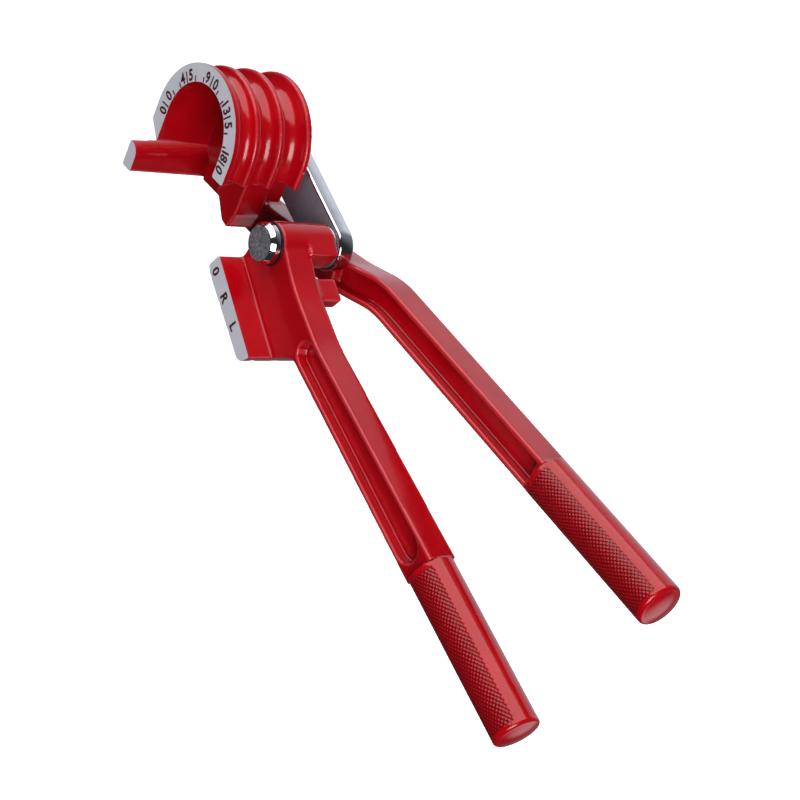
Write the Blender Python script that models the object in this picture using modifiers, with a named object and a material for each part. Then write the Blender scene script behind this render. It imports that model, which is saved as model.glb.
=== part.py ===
"""Lever tube bender for 1/4, 5/16 and 3/8 inch tube, lying on its far side.

Metres, +Z up. The wheel's axis is the Z axis, and z = 0 is the floor of the wheel's hollow.
One casting is the forming wheel with its hook, neck and handle. The other is the shoe
with its boss and handle. A steel link joins them: it swings about the wheel's axis, and
the shoe casting swings about the pin at the link's other end.
"""
from math import cos, pi, radians, sin, tan

import bmesh
import bpy
from mathutils import Matrix, Vector

NAME = "tube_bender"

# Fits
GAP = 0.0003
OVERRUN = 0.004
SEAT_OVERLAP = 0.001
WELD = 0.000001
BEVEL_FROM = radians(60.0)
SHARP_FROM = radians(30.0)

# Forming wheel: three tubes, from the near face to the far one
TUBE_DIAMETERS = (0.00635, 0.00794, 0.00953)
GROOVE_PLAY = 0.00025
FLANGE_THICK = 0.0025
WHEEL_RADIUS = 0.025
WHEEL_BORE_RADIUS = 0.0182
TUBE_REACH = 0.0282
HOLLOW_DEPTH = 0.0234
ARCH_STEPS = 22
GROOVE_STEPS = 7
LEG_RIGHT = 0.0072
LEG_LEFT = 0.0136
LEG_CUT_SHARES = ((0.56, 1.0), (1.0, 0.0))

# Web, hook and neck of the wheel casting, along the tube and across it
WEB_EDGE = 0.0146
WEB_TOP_EDGE = 0.0178
WEB_TOP = 0.0162
WEB_BEND = 0.0191
WEB_BOTTOM = 0.0260
WEB_SIDE = 0.0095
HOOK_BOTTOM = 0.0321
HOOK_HEIGHT = 0.0102
HOOK_THICK = 0.0059
HOOK_ROUND = 0.0045
HOOK_DRAFT = 0.0046
HOOK_SETBACK = 0.001
NECK_FACE = 0.0202
NECK_THICK = 0.0114
NECK_SETBACK = 0.0146
NECK_TOP = 0.0072
NECK_SHOULDER = 0.0183
NECK_SHOULDER_SIDE = 0.0050
NECK_KNEE = 0.0208
NECK_KNEE_SIDE = 0.0083
NECK_TOE = 0.0266
NECK_TOE_SIDE = 0.0141
NECK_TIP = 0.0273
NECK_CHAMFER = 0.0064
NECK_CHAMFER_RISE = 0.0022
ROOT_LOW = 0.0375
ROOT_LOW_SIDE = 0.0270
ROOT_FOOT = 0.0402
ROOT_FOOT_SIDE = 0.0120
ROOT_TOP_SIDE = 0.0090
ROOT_INSET = 0.0005

# Link bar and its two pins
LINK_REACH = 0.0498
LINK_WIDTH = 0.0176
LINK_THICK = 0.0066
LINK_TURN = radians(-49.24)
LINK_END_STEPS = 20
LINK_RIM = 0.0005
WASHER_THICK = 0.0008
WASHER_RADIUS = 0.0075
PIN_RADIUS = 0.0035
PIN_BLIND_DEPTH = 0.0072
PIN_STEPS = 28
COLLAR_RADIUS = 0.0056
COLLAR_THICK = 0.0022
COLLAR_BEVEL = 0.0006
HEAD_RADIUS = 0.0076
HEAD_FACE_RADIUS = 0.0064
HEAD_THICK = 0.0038
HEAD_EDGE = 0.0022
TAIL_RADIUS = 0.0048
TAIL_DEPTH = 0.0016
HEAD_WASHER_THICK = 0.0006
HEAD_WASHER_RADIUS = 0.0079
BUSH_WALL = 0.0010

# Arm and grip of the wheel casting
TUBE_TURN = radians(240.0)
ARM_TURN = radians(-33.7)
ARM_OFFSET = 0.0155
ARM_WIDTH = 0.0126
ARM_THICK = 0.0115
ARM_BEND_AT = 0.0745
ARM_BEND = radians(17.5)
ARM_BEND_RADIUS = 0.040
ARM_ELBOW_AT = 0.0560
ARM_ELBOW = radians(12.0)
ARM_ELBOW_RADIUS = 0.060
ARM_BEND_STEPS = 6
ARM_START = -0.0040
GRIP_START = 0.1727
GRIP_END = 0.2345
GRIP_RADIUS = 0.0082
GRIP_DOME = 0.0010
GRIP_EDGE = 0.0012
GRIP_STEPS = 32
GRIP_EDGE_STEPS = 3
RIM = 0.0021
RECESS_DEPTH = 0.0042
RECESS_START = 0.0560
RECESS_END_MARGIN = 0.0020
RECESS_END_STEPS = 5

# Shoe casting: along the shoe's face from the pin, and across it
SHOE_TURN = radians(-58.7)
SHOE_PLAY = 0.0013
SHOE_TOP = 0.0038
SHOE_LENGTH = 0.0397
SHOE_THICK = 0.0078
SHOE_FOOT_THICK = 0.0063
SHOE_CHAMFER = 0.0030
SHOE_CHAMFER_RISE = 0.0010
SHOE_SETBACK = 0.0010
SHOE_GROOVE_STEPS = 8
BOSS_RADIUS = 0.0080
BOSS_STEPS = 36
BEAM_SETBACK = 0.0116
BEAM_THICK = 0.0114
BEAM_EDGE = 0.0055
BEAM_KNEE = 0.0430
BEAM_EDGE_RADIUS = 0.060
WAIST_AT = 0.0190
WAIST_EDGE = 0.0040
SHOULDER_EDGE = 0.0072
BOSS_FOOT = 0.0080
BEAM_TURN = radians(12.4)
BEAM_WIDTH = 0.0130
BEAM_END_WIDTH = 0.0150
SHOE_GRIP_REACH = 0.1950
WEB_SHOULDER = 0.0072
WEB_SHOULDER_SIDE = 0.0040
WEB_FOOT = 0.0366
WEB_CORNER = 0.0410
WEB_FILLET = 0.0040
FILLET_STEPS = 5
LUG_START = 0.0152
LUG_LENGTH = 0.0088
LUG_REACH = 0.0036
LUG_DEPTH = 0.0095
LUG_ROOT = 0.0020

# Levels that follow
GROOVE_WIDTHS = [diameter + GROOVE_PLAY for diameter in TUBE_DIAMETERS]
WHEEL_WIDTH = sum(GROOVE_WIDTHS) + (len(GROOVE_WIDTHS) + 1) * FLANGE_THICK
RING_Z = HOLLOW_DEPTH
WHEEL_BACK_Z = RING_Z - WHEEL_WIDTH
WASHER_Z = WHEEL_BACK_Z - GAP - WASHER_THICK
LINK_TOP_Z = WASHER_Z - GAP
LINK_BACK_Z = LINK_TOP_Z - LINK_THICK
COLLAR_Z = LINK_BACK_Z - GAP - COLLAR_THICK
ARM_TOP_Z = LINK_BACK_Z - 2 * GAP
ARM_BACK_Z = ARM_TOP_Z - ARM_THICK
NECK_TOP_Z = RING_Z - NECK_SETBACK
BEAM_TOP_Z = RING_Z - BEAM_SETBACK
BEAM_BACK_Z = BEAM_TOP_Z - BEAM_THICK
SHOE_TOP_Z = RING_Z - SHOE_SETBACK
SHOE_BACK_Z = WHEEL_BACK_Z + SHOE_SETBACK
SHOE_FACE = LINK_REACH - WHEEL_RADIUS - SHOE_PLAY
HOOK_FACE = TUBE_REACH
BUSH_RADIUS = PIN_RADIUS + GAP + BUSH_WALL
BORE_RADIUS = BUSH_RADIUS + GAP
SHOE_PIN_AT = Vector((LINK_REACH * cos(LINK_TURN), LINK_REACH * sin(LINK_TURN), 0))
# The arm's direction in the wheel's own frame, whose x runs along its legs
ARM_IN_WHEEL = ARM_TURN - TUBE_TURN


def clear_scene():
    for obj in list(bpy.data.objects):
        bpy.data.objects.remove(obj, do_unlink=True)


def new_collection(name):
    collection = bpy.data.collections.new(name)
    bpy.context.scene.collection.children.link(collection)
    return collection


def material(name, color, metallic, roughness):
    made = bpy.data.materials.new(name)
    made.use_nodes = True
    shader = made.node_tree.nodes["Principled BSDF"]
    shader.inputs["Base Color"].default_value = (*color, 1)
    shader.inputs["Metallic"].default_value = metallic
    shader.inputs["Roughness"].default_value = roughness
    made.diffuse_color = (*color, 1)
    return made


def add_object(name, mesh):
    obj = bpy.data.objects.new(name, mesh)
    parts.objects.link(obj)
    return obj


def mesh_from_curve(curve_object):
    """The curve's own mesh, with its caps welded on."""
    depsgraph = bpy.context.evaluated_depsgraph_get()
    mesh = bpy.data.meshes.new_from_object(curve_object.evaluated_get(depsgraph))
    shape = bmesh.new()
    shape.from_mesh(mesh)
    bmesh.ops.remove_doubles(shape, verts=shape.verts, dist=WELD)
    bmesh.ops.recalc_face_normals(shape, faces=shape.faces)
    shape.to_mesh(mesh)
    shape.free()
    return mesh


def plate(name, outline, low, high):
    """A flat outline, as a 2D curve, given its thickness from low to high."""
    curve = bpy.data.curves.new(name, "CURVE")
    curve.dimensions = "2D"
    curve.fill_mode = "BOTH"
    curve.extrude = (high - low) / 2
    spline = curve.splines.new("POLY")
    spline.points.add(len(outline) - 1)
    for point, (x, y) in zip(spline.points, outline):
        point.co = (x, y, 0, 1)
    spline.use_cyclic_u = True
    drawn = add_object(name + "_outline", curve)
    mesh = mesh_from_curve(drawn)
    bpy.data.objects.remove(drawn, do_unlink=True)
    mesh.transform(Matrix.Translation((0, 0, (high + low) / 2)))
    return add_object(name, mesh)


def turned(name, profile, steps):
    """A lathe piece about Z: the profile runs down its outer side at +X, axis to axis."""
    mesh = bpy.data.meshes.new(name)
    points = [(radius, 0, z) for radius, z in profile]
    edges = [(at, at + 1) for at in range(len(points) - 1)]
    if profile[0][0] > 0:
        edges.append((len(points) - 1, 0))
    mesh.from_pydata(points, edges, [])
    obj = add_object(name, mesh)
    screw = obj.modifiers.new("turn", "SCREW")
    screw.steps = screw.render_steps = steps
    screw.use_merge_vertices = True
    screw.merge_threshold = WELD
    settle(obj)
    return obj


def settle(obj):
    """Replaces the object's mesh by the one its modifiers make."""
    bpy.context.view_layer.update()
    depsgraph = bpy.context.evaluated_depsgraph_get()
    mesh = bpy.data.meshes.new_from_object(obj.evaluated_get(depsgraph))
    obj.modifiers.clear()
    obj.data = mesh
    shape = bmesh.new()
    shape.from_mesh(mesh)
    bmesh.ops.remove_doubles(shape, verts=shape.verts, dist=WELD)
    bmesh.ops.recalc_face_normals(shape, faces=shape.faces)
    shape.to_mesh(mesh)
    shape.free()


def combine(target, others, operation):
    for other in others:
        boolean = target.modifiers.new(other.name, "BOOLEAN")
        boolean.operation = operation
        boolean.solver = "EXACT"
        boolean.object = other
        settle(target)
        bpy.data.objects.remove(other, do_unlink=True)
    return target


def fuse(target, *others):
    return combine(target, others, "UNION")


def cut(target, *others):
    return combine(target, others, "DIFFERENCE")


def turned_points(points, turn):
    """The points turned about the origin."""
    return [(x * cos(turn) - y * sin(turn), x * sin(turn) + y * cos(turn)) for x, y in points]


def arc(centre, radius, first, last, steps):
    return [
        (
            centre[0] + radius * cos(first + (last - first) * step / steps),
            centre[1] + radius * sin(first + (last - first) * step / steps),
        )
        for step in range(steps + 1)
    ]


def filleted(before, corner, after, radius, steps):
    """The arc of the given radius that rounds the corner between two straight edges."""
    here = Vector(corner)
    back = (Vector(before) - here).normalized()
    ahead = (Vector(after) - here).normalized()
    half = back.angle(ahead) / 2
    run = radius / tan(half)
    centre = here + (back + ahead).normalized() * (radius / sin(half))
    start = here + back * run - centre
    end = here + ahead * run - centre
    sweep = start.angle_signed(end)
    # angle_signed is positive clockwise
    return [
        tuple(centre + Matrix.Rotation(-sweep * step / steps, 2) @ start)
        for step in range(steps + 1)
    ]


def stadium(start, end, start_width, end_width, steps):
    """A tapered bar outline with a round end at each end, between two points."""
    direction = Vector(end) - Vector(start)
    heading = Vector((1, 0)).angle_signed(direction)
    turn = -heading
    first = arc(start, start_width / 2, turn + pi / 2, turn + 3 * pi / 2, steps)
    last = arc(end, end_width / 2, turn - pi / 2, turn + pi / 2, steps)
    return first + last


def drill(name, radius, low, high, steps=PIN_STEPS):
    return turned(name, [(0, high), (radius, high), (radius, low), (0, low)], steps)


def wheel_section():
    """The wheel's wall as radius and height, from its bore out and up past the grooves."""
    section = [(WHEEL_BORE_RADIUS, WHEEL_BACK_Z), (WHEEL_RADIUS, WHEEL_BACK_Z)]
    low = WHEEL_BACK_Z + FLANGE_THICK
    for width in reversed(GROOVE_WIDTHS):
        half = width / 2
        centre = (TUBE_REACH - half, low + half)
        section.append((WHEEL_RADIUS, low))
        section += arc(centre, half, -pi / 2, -3 * pi / 2, GROOVE_STEPS)
        section.append((WHEEL_RADIUS, low + width))
        low += width + FLANGE_THICK
    section += [(WHEEL_RADIUS, RING_Z), (WHEEL_BORE_RADIUS, RING_Z)]
    return section


def grooved_wheel():
    """The section turned half round the axis, then drawn out straight at each end."""
    shape = bmesh.new()
    corners = [shape.verts.new((0, -radius, z)) for radius, z in wheel_section()]
    face = shape.faces.new(corners)
    turned_round = bmesh.ops.spin(
        shape,
        geom=[face, *face.edges, *face.verts],
        cent=(0, 0, 0),
        axis=(0, 0, 1),
        angle=-pi,
        steps=ARCH_STEPS,
        use_duplicate=False,
    )
    last = [item for item in turned_round["geom_last"] if isinstance(item, bmesh.types.BMFace)]
    first = [
        item
        for item in shape.faces
        if all(abs(corner.co.x) < WELD and corner.co.y < 0 for corner in item.verts)
    ]
    for ends, length in ((first, LEG_LEFT), (last, LEG_RIGHT)):
        drawn = bmesh.ops.extrude_face_region(shape, geom=ends)
        bmesh.ops.delete(shape, geom=ends, context="FACES_ONLY")
        tips = [item for item in drawn["geom"] if isinstance(item, bmesh.types.BMVert)]
        bmesh.ops.translate(shape, verts=tips, vec=(length, 0, 0))
    bmesh.ops.remove_doubles(shape, verts=shape.verts, dist=WELD)
    bmesh.ops.recalc_face_normals(shape, faces=shape.faces)
    mesh = bpy.data.meshes.new("wheel_casting")
    shape.to_mesh(mesh)
    shape.free()
    return add_object("wheel_casting", mesh)


def left_leg_cutter():
    """The slanted end of the leg at the 0 mark: it runs out from the wheel's outer side."""
    wall = WHEEL_RADIUS - WHEEL_BORE_RADIUS
    (high_share, out_share), (low_share, in_share) = LEG_CUT_SHARES
    outer = (LEG_LEFT * high_share, -(WHEEL_BORE_RADIUS + wall * out_share))
    inner = (LEG_LEFT * low_share, -(WHEEL_BORE_RADIUS + wall * in_share))
    slope = (Vector(inner) - Vector(outer)).normalized() * OVERRUN
    outline = [
        (outer[0] - slope.x, outer[1] - slope.y),
        (inner[0] + slope.x, inner[1] + slope.y),
        (inner[0] + OVERRUN + slope.x, outer[1] - slope.y),
    ]
    return plate("leg_cutter", outline, WHEEL_BACK_Z - OVERRUN, RING_Z + OVERRUN)


def wheel_floor():
    """The slab behind the hollow, which carries the pivot pin."""
    radius = WHEEL_BORE_RADIUS + GAP
    outline = arc((0, 0), radius, -pi / 2, -3 * pi / 2, ARCH_STEPS)
    outline += [(WEB_TOP, WEB_TOP_EDGE), (WEB_TOP, -WEB_TOP_EDGE)]
    return plate("wheel_floor", outline, WHEEL_BACK_Z, 0)


def web():
    """The wall below the wheel, level with the floor slab."""
    outline = [
        (WEB_TOP - SEAT_OVERLAP, -WEB_TOP_EDGE),
        (WEB_BEND, -WEB_EDGE),
        (WEB_BOTTOM, -WEB_EDGE),
        (WEB_BOTTOM, WEB_SIDE),
        (WEB_TOP - SEAT_OVERLAP, WEB_SIDE),
    ]
    return plate("web", outline, WHEEL_BACK_Z, 0)


def neck():
    """The block under the wheel. Its right face is level with the middle groove's floor."""
    outline = [
        (NECK_TOP, WHEEL_BORE_RADIUS - SEAT_OVERLAP),
        (NECK_TOP, NECK_FACE),
        (NECK_TIP - NECK_CHAMFER, NECK_FACE),
        (NECK_TIP, NECK_FACE - NECK_CHAMFER_RISE),
        (NECK_TOE, NECK_TOE_SIDE),
        (NECK_KNEE, NECK_KNEE_SIDE),
        (NECK_SHOULDER, NECK_SHOULDER_SIDE),
    ]
    return plate("neck", outline, NECK_TOP_Z - NECK_THICK, NECK_TOP_Z)


def hook():
    """The bar that holds the tube at the 0 mark, beside the wheel, parallel to its axis.

    Its side towards the wheel's legs is drafted, so the bar is taller at its root.
    """
    near = HOOK_BOTTOM - HOOK_HEIGHT
    inner = -HOOK_FACE
    outer = -(HOOK_FACE + HOOK_THICK)
    outline = [(near, outer), (HOOK_BOTTOM, outer), (HOOK_BOTTOM, inner)]
    corner = (near, inner)
    outline += filleted((HOOK_BOTTOM, inner), corner, (near, outer), HOOK_ROUND, FILLET_STEPS)
    low, high = ARM_BACK_Z + ROOT_INSET + SEAT_OVERLAP, RING_Z - HOOK_SETBACK
    bar = plate("hook", outline, low, high)
    for corner in bar.data.vertices:
        if corner.co.z < (low + high) / 2 and corner.co.x < HOOK_BOTTOM - WELD:
            corner.co.x -= HOOK_DRAFT
    return bar


def bridge():
    """The wall behind the last groove, which ties the hook to the web."""
    outer = -(HOOK_FACE + HOOK_THICK)
    top = WEB_TOP - SEAT_OVERLAP
    outline = [
        (HOOK_BOTTOM - HOOK_HEIGHT, outer),
        (HOOK_BOTTOM, outer),
        (HOOK_BOTTOM, -WEB_EDGE),
        (WEB_BOTTOM, 0),
        (top, 0),
        (top, -WEB_TOP_EDGE),
    ]
    return plate("bridge", outline, ARM_TOP_Z - SEAT_OVERLAP, WHEEL_BACK_Z)


def root():
    """The plate at the back, level with the arm, which carries bridge and hook."""
    outer = -(HOOK_FACE + HOOK_THICK)
    top = WEB_TOP
    outline = [
        (HOOK_BOTTOM - HOOK_HEIGHT - HOOK_DRAFT / 2, outer),
        (HOOK_BOTTOM, outer),
        (ROOT_LOW, -ROOT_LOW_SIDE),
        (ROOT_FOOT, -ROOT_FOOT_SIDE),
        (ROOT_FOOT, 0),
        (WEB_BOTTOM + ROOT_INSET, 0),
        (WEB_BOTTOM + ROOT_INSET, -ROOT_TOP_SIDE),
        (top, -ROOT_TOP_SIDE),
        (top, -WEB_TOP_EDGE),
    ]
    return plate("root", outline, ARM_BACK_Z + ROOT_INSET, ARM_TOP_Z)


def arm_centre_line():
    """The arm's middle, in its own frame: it rises in two slanted runs to the handle's line."""
    bend = Vector((ARM_BEND_AT, -ARM_OFFSET))
    rise = (ARM_BEND_AT - ARM_ELBOW_AT) * tan(ARM_BEND)
    elbow = Vector((ARM_ELBOW_AT, -ARM_OFFSET - rise))
    run = ARM_ELBOW_AT - ARM_START
    start = elbow - Vector((run, run * tan(ARM_ELBOW)))
    end = Vector((GRIP_START + SEAT_OVERLAP, -ARM_OFFSET))
    bent = filleted(start, elbow, bend, ARM_ELBOW_RADIUS, ARM_BEND_STEPS)
    bent += filleted(elbow, bend, end, ARM_BEND_RADIUS, ARM_BEND_STEPS)
    return [tuple(start), *bent, tuple(end)]


def band(line, width):
    """A strip of even width along a line of points, with square ends."""
    points = [Vector(point) for point in line]
    left, right = [], []
    for at, point in enumerate(points):
        before = points[max(at - 1, 0)]
        after = points[min(at + 1, len(points) - 1)]
        along = (after - before).normalized()
        side = Vector((-along.y, along.x)) * (width / 2)
        left.append(tuple(point + side))
        right.append(tuple(point - side))
    return left + right[::-1]


def arm():
    line = arm_centre_line()
    outline = turned_points(band(line, ARM_WIDTH), ARM_IN_WHEEL)
    return plate("arm", outline, ARM_BACK_Z, ARM_TOP_Z)


def arm_recess(near):
    """The hollow in one face of the arm, which leaves its I section."""
    line = arm_centre_line()
    start = Vector(line[0])
    first = start + (Vector(line[1]) - start).normalized() * RECESS_START
    last = (line[-1][0] - RECESS_END_MARGIN - SEAT_OVERLAP, line[-1][1])
    inner = [tuple(first), *line[1:-1], last]
    outline = turned_points(band(inner, ARM_WIDTH - 2 * RIM), ARM_IN_WHEEL)
    if near:
        return plate("arm_recess", outline, ARM_TOP_Z - RECESS_DEPTH, ARM_TOP_Z + OVERRUN)
    return plate("arm_recess", outline, ARM_BACK_Z - OVERRUN, ARM_BACK_Z + RECESS_DEPTH)


def grip(name, length, start, height, offset, turn):
    """A round grip with a slightly domed end, laid along its handle."""
    profile = [(0, length + GRIP_DOME)]
    edge = (GRIP_RADIUS - GRIP_EDGE, length - GRIP_EDGE)
    profile += arc(edge, GRIP_EDGE, pi / 2, 0, GRIP_EDGE_STEPS)
    profile += [(GRIP_RADIUS, 0), (0, 0)]
    made = turned(name, profile, GRIP_STEPS)
    lay_down = Matrix.Rotation(pi / 2, 4, "Y")
    place = Matrix.Translation((start, offset, height))
    made.data.transform(Matrix.Rotation(turn, 4, "Z") @ place @ lay_down)
    return made


def make_wheel_casting():
    casting = cut(grooved_wheel(), left_leg_cutter())
    fuse(casting, wheel_floor(), web(), neck(), bridge(), root(), hook(), arm())
    cut(casting, arm_recess(True), arm_recess(False))
    middle = (ARM_TOP_Z + ARM_BACK_Z) / 2
    length = GRIP_END - GRIP_START
    fuse(casting, grip("arm_grip", length, GRIP_START, middle, -ARM_OFFSET, ARM_IN_WHEEL))
    low, high = WHEEL_BACK_Z - OVERRUN, WHEEL_BACK_Z + PIN_BLIND_DEPTH
    return cut(casting, drill("pin_hole", PIN_RADIUS + GAP, low, high))


def shoe_block():
    """The forming shoe: a slab whose face carries the other half of each groove."""
    face = -SHOE_FACE
    top = -SHOE_TOP
    bottom = top + SHOE_LENGTH
    outline = [
        (top, face + SHOE_THICK),
        (top, face + SHOE_CHAMFER_RISE),
        (top + SHOE_CHAMFER, face),
        (bottom - SHOE_CHAMFER, face),
        (bottom - SHOE_CHAMFER_RISE, face + SHOE_CHAMFER / 2),
        (bottom, face + SHOE_FOOT_THICK),
    ]
    block = plate("shoe_block", outline, SHOE_BACK_Z, SHOE_TOP_Z)
    high = RING_Z - FLANGE_THICK
    for width in GROOVE_WIDTHS:
        section = [(0, -width / 2)]
        section += arc((0, 0), width / 2, -pi / 2, pi / 2, SHOE_GROOVE_STEPS)
        groove = plate("shoe_groove", section[1:], top - OVERRUN, bottom + OVERRUN)
        stand = Matrix(((0, 0, 1, 0), (1, 0, 0, 0), (0, 1, 0, 0), (0, 0, 0, 1)))
        depth = TUBE_REACH - WHEEL_RADIUS - SHOE_PLAY - width / 2
        place = Matrix.Translation((0, face + depth, high - width / 2))
        groove.data.transform(place @ stand)
        cut(block, groove)
        high -= width + FLANGE_THICK
    return block


def beam_edges(at):
    """The beam's two sides at a distance along it from its knee."""
    share = at / (SHOE_GRIP_REACH - BEAM_KNEE)
    width = BEAM_WIDTH + (BEAM_END_WIDTH - BEAM_WIDTH) * share
    knee = Vector((BEAM_KNEE, BEAM_EDGE - BEAM_WIDTH / 2))
    along = Vector((cos(BEAM_TURN), sin(BEAM_TURN)))
    side = Vector((-sin(BEAM_TURN), cos(BEAM_TURN)))
    middle = knee + along * at
    return middle + side * width / 2, middle - side * width / 2, middle


def shoe_web_and_beam():
    """The plate between boss and shoe, and the beam that runs on from it."""
    face = -SHOE_FACE
    grip_at = SHOE_GRIP_REACH - (GRIP_END - GRIP_START) - BEAM_KNEE
    right_end, left_end, _ = beam_edges(grip_at + SEAT_OVERLAP)
    right_knee, left_knee, _ = beam_edges(0)
    inside = face + SHOE_THICK - SEAT_OVERLAP
    corner = (WEB_CORNER, left_knee.y + (WEB_CORNER - left_knee.x) * tan(BEAM_TURN))
    shoulder, waist, knee = (0, SHOULDER_EDGE), (WAIST_AT, WAIST_EDGE), (BEAM_KNEE, BEAM_EDGE)
    outline = [(-SHOE_TOP, inside), (-WEB_SHOULDER, -WEB_SHOULDER_SIDE), shoulder]
    outline += filleted(shoulder, waist, knee, BEAM_EDGE_RADIUS, FILLET_STEPS)
    outline += filleted(waist, knee, right_end, BEAM_EDGE_RADIUS, FILLET_STEPS)
    outline += [tuple(right_end), tuple(left_end)]
    outline += filleted(left_end, corner, (WEB_FOOT, inside), WEB_FILLET, FILLET_STEPS)
    foot = -SHOE_TOP + SHOE_LENGTH
    seat = face + SHOE_FOOT_THICK - SEAT_OVERLAP
    outline += [(WEB_FOOT, seat + 2 * SEAT_OVERLAP), (foot - SEAT_OVERLAP, seat)]
    return plate("web_and_beam", outline, BEAM_BACK_Z, BEAM_TOP_Z)


def beam_recess(near):
    """The round-ended hollow in one face of the beam."""
    grip_at = SHOE_GRIP_REACH - (GRIP_END - GRIP_START) - BEAM_KNEE
    _, _, start = beam_edges(0)
    _, _, end = beam_edges(grip_at - RECESS_END_MARGIN - BEAM_END_WIDTH / 2)
    outline = stadium(
        start, end, BEAM_WIDTH - 2 * RIM, BEAM_END_WIDTH - 2 * RIM, RECESS_END_STEPS
    )
    if near:
        return plate("beam_recess", outline, BEAM_TOP_Z - RECESS_DEPTH, BEAM_TOP_Z + OVERRUN)
    return plate("beam_recess", outline, BEAM_BACK_Z - OVERRUN, BEAM_BACK_Z + RECESS_DEPTH)


def make_shoe_casting():
    casting = drill("shoe_casting", BOSS_RADIUS, WHEEL_BACK_Z, BEAM_TOP_Z, BOSS_STEPS)
    boss_side = [(0, 0), (BOSS_FOOT, 0), (BOSS_FOOT, SHOULDER_EDGE), (0, BOSS_RADIUS)]
    fuse(casting, plate("boss_side", boss_side, WHEEL_BACK_Z, BEAM_BACK_Z + SEAT_OVERLAP))
    fuse(casting, shoe_web_and_beam(), shoe_block())
    lug = [
        (LUG_START, -LUG_ROOT),
        (LUG_START + LUG_LENGTH, -LUG_ROOT),
        (LUG_START + LUG_LENGTH, LUG_REACH),
        (LUG_START, LUG_REACH),
    ]
    fuse(casting, plate("lug", lug, BEAM_BACK_Z - LUG_DEPTH, BEAM_TOP_Z - BEAM_THICK / 2))
    cut(casting, beam_recess(True), beam_recess(False))
    middle = (BEAM_TOP_Z + BEAM_BACK_Z) / 2
    length = GRIP_END - GRIP_START
    _, _, at = beam_edges(SHOE_GRIP_REACH - length - BEAM_KNEE)
    along = at.x * cos(BEAM_TURN) + at.y * sin(BEAM_TURN)
    offset = -at.x * sin(BEAM_TURN) + at.y * cos(BEAM_TURN)
    fuse(casting, grip("shoe_grip", length, along, middle, offset, BEAM_TURN))
    low, high = WHEEL_BACK_Z - OVERRUN, BEAM_TOP_Z + OVERRUN
    return cut(casting, drill("boss_hole", BORE_RADIUS, low, high))


def make_link():
    """A flat bar with full-round ends and a bore at each end."""
    outline = stadium((0, 0), (LINK_REACH, 0), LINK_WIDTH, LINK_WIDTH, LINK_END_STEPS)
    bar = plate("link_bar", outline, LINK_BACK_Z, LINK_TOP_Z)
    bevel = bar.modifiers.new("rim", "BEVEL")
    bevel.width = LINK_RIM
    bevel.segments = 1
    bevel.angle_limit = BEVEL_FROM
    settle(bar)
    low, high = LINK_BACK_Z - OVERRUN, LINK_TOP_Z + OVERRUN
    wheel_hole = drill("wheel_hole", BORE_RADIUS, low, high)
    bore = PIN_RADIUS + GAP
    flare = TAIL_RADIUS + GAP
    sink = [
        (0, high),
        (bore, high),
        (bore, LINK_BACK_Z + TAIL_DEPTH),
        (flare, LINK_BACK_Z),
        (flare, low),
        (0, low),
    ]
    shoe_hole = turned("shoe_hole", sink, PIN_STEPS)
    shoe_hole.data.transform(Matrix.Translation((LINK_REACH, 0, 0)))
    return cut(bar, wheel_hole, shoe_hole)


def ring(name, inner, outer, low, high):
    return turned(name, [(outer, high), (outer, low), (inner, low), (inner, high)], PIN_STEPS)


def collar(name):
    """The riveted collar at a pin's far end."""
    inner = PIN_RADIUS + GAP
    top, low = COLLAR_Z + COLLAR_THICK, COLLAR_Z
    profile = [
        (COLLAR_RADIUS, top),
        (COLLAR_RADIUS, low + COLLAR_BEVEL),
        (COLLAR_RADIUS - COLLAR_BEVEL, low),
        (inner, low),
        (inner, top),
    ]
    return turned(name, profile, PIN_STEPS)


def make_wheel_pin():
    """A plain pin, blind in the floor slab, that carries link and collar behind it."""
    top = WHEEL_BACK_Z + PIN_BLIND_DEPTH - GAP
    return drill("wheel_pivot_pin", PIN_RADIUS, COLLAR_Z, top)


def make_shoe_pin():
    """The pin through boss and link: a broad bevelled head, and a tail riveted into the link."""
    seat = BEAM_TOP_Z + GAP + HEAD_WASHER_THICK + GAP
    profile = [
        (0, seat + HEAD_THICK),
        (HEAD_FACE_RADIUS, seat + HEAD_THICK),
        (HEAD_RADIUS, seat + HEAD_EDGE),
        (HEAD_RADIUS, seat),
        (PIN_RADIUS, seat),
        (PIN_RADIUS, LINK_BACK_Z + TAIL_DEPTH),
        (TAIL_RADIUS, LINK_BACK_Z),
        (0, LINK_BACK_Z),
    ]
    return turned("shoe_pivot_pin", profile, PIN_STEPS)


def pose(obj, parent, look):
    obj.parent = parent
    obj.data.materials.clear()
    obj.data.materials.append(look)
    obj.data.shade_smooth()
    obj.data.set_sharp_from_angle(angle=SHARP_FROM)


def empty(name, turn, at=(0, 0, 0)):
    made = bpy.data.objects.new(name, None)
    parts.objects.link(made)
    made.location = at
    made.rotation_euler = (0, 0, turn)
    made.empty_display_size = LINK_WIDTH
    return made


clear_scene()
parts = new_collection(NAME)

red_paint = material("red_paint", (0.46, 0.008, 0.016), 0.0, 0.28)
chrome = material("chrome_plate", (0.62, 0.63, 0.66), 1.0, 0.14)
steel = material("bright_steel", (0.55, 0.55, 0.57), 1.0, 0.30)
black_steel = material("black_washer", (0.02, 0.02, 0.022), 0.6, 0.45)
bronze = material("bronze_bush", (0.50, 0.33, 0.14), 1.0, 0.35)

wheel_axis = empty("wheel_axis", TUBE_TURN)
link_axis = empty("link_axis", LINK_TURN)
shoe_axis = empty("shoe_axis", SHOE_TURN, SHOE_PIN_AT)
link_pin_axis = empty("link_pin_axis", LINK_TURN, SHOE_PIN_AT)

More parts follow.
